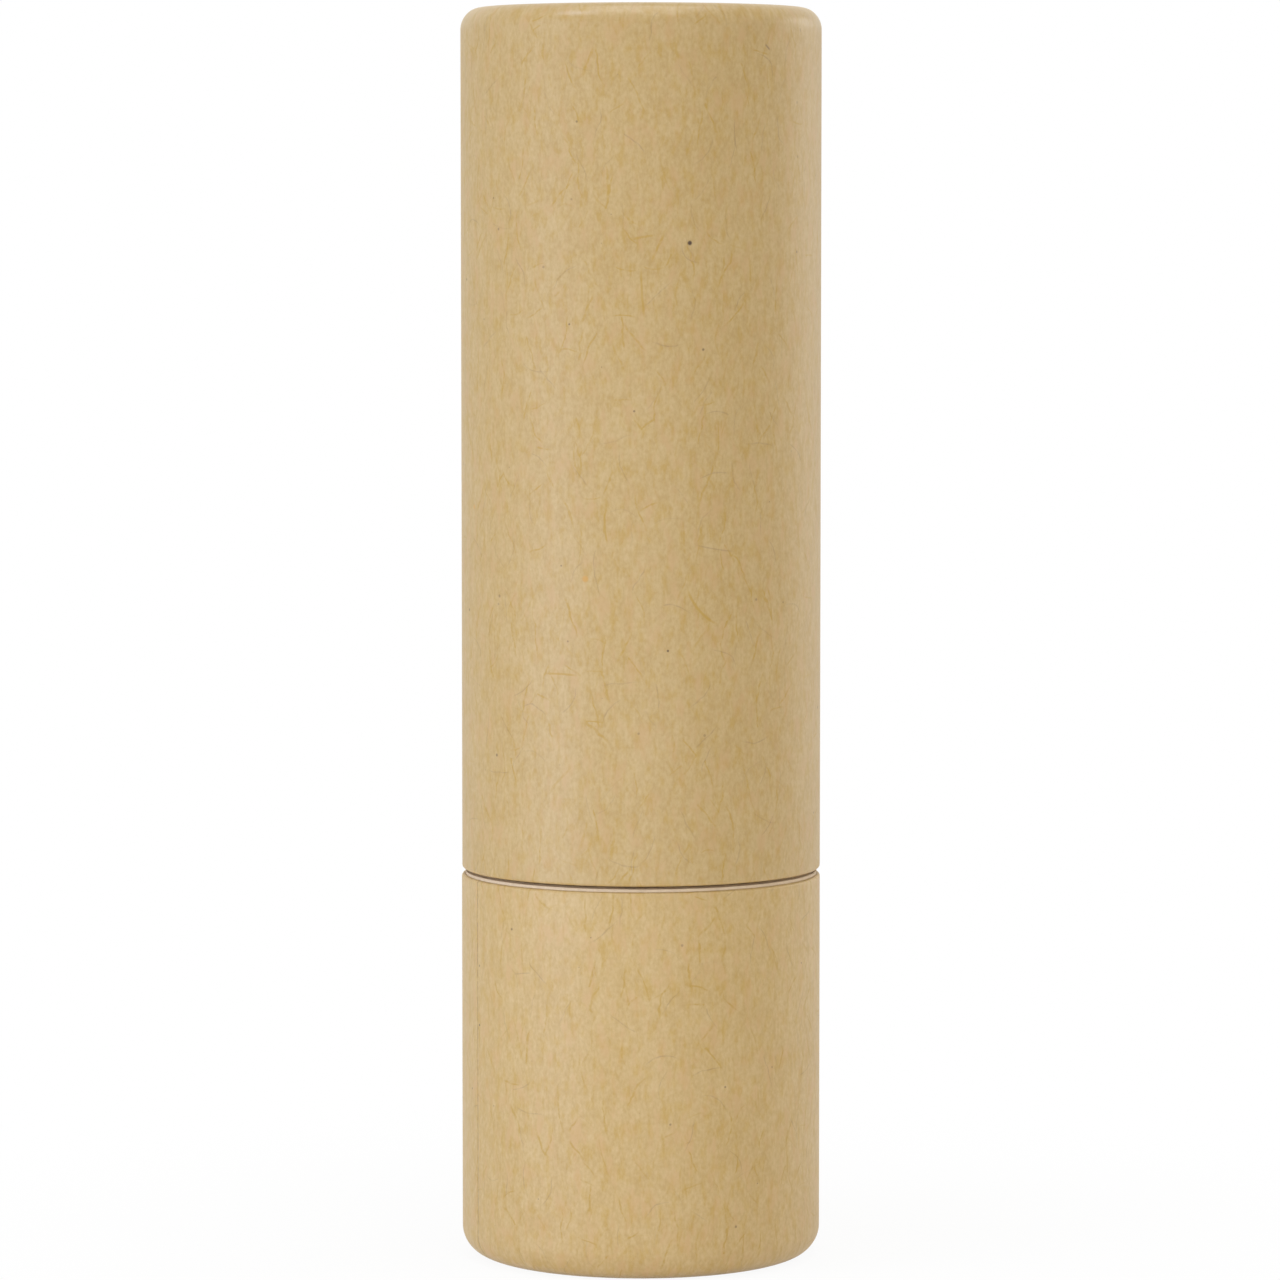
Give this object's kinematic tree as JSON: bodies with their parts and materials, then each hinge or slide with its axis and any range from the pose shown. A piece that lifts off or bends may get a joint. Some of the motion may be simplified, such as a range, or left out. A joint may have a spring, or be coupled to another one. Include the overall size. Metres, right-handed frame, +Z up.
{
  "type": "lip balm stick",
  "caption": "Slim round twist-up lip balm stick in a kraft paper tube, with a pull-off cap, rolled paper rims and a turning neck that raises the balm.",
  "frame": {"origin": "middle of the rolled rim that the stick stands on, at the lowest point of its box", "axes": "+Z up along the tube's axis towards the cap, -Y towards the front that the picture shows, the two lugs along +X and -X"},
  "size_m": [0.0202, 0.0202, 0.07],
  "materials": {
    "kraft_paper": "satin",
    "board": "matte",
    "lining_paper": "matte",
    "neck_plastic": "satin",
    "inner_plastic": "satin",
    "ring_rubber": "matte",
    "balm_wax": "satin"
  },
  "bodies": {
    "base": {"base_wrap": "kraft_paper", "base_tube": "board", "base_lining": "lining_paper", "base_end_disc": "board", "base_end_paper": "kraft_paper", "base_insert": "inner_plastic", "guide_tube": "inner_plastic", "drag_ring": "ring_rubber"},
    "sleeve": {"sleeve": "neck_plastic", "spiral_tube": "inner_plastic"},
    "carrier": {"carrier_cup": "inner_plastic", "balm_stick": "balm_wax"},
    "cap": {"cap_wrap": "kraft_paper", "cap_tube": "board", "cap_lining": "lining_paper", "cap_end_disc": "board", "cap_end_paper": "kraft_paper", "cap_liner": "inner_plastic"}
  },
  "joints": [
    {"name": "sleeve_turn", "type": "hinge", "parent": "base", "child": "sleeve", "pos_m": [0, 0, 0], "axis": [0, 0, -1], "range_deg": [0, 450]},
    {"name": "balm_rise", "type": "slide", "parent": "base", "child": "carrier", "axis": [0, 0, 1], "range_m": [0, 0.0215]},
    {"name": "cap_pull", "type": "slide", "parent": "sleeve", "child": "cap", "axis": [0, 0, 1], "range_m": [0, 0.055]}
  ],
  "couplings": [
    {"joint": "balm_rise", "follows": "sleeve_turn", "m_per_rad": 0.0027375}
  ]
}
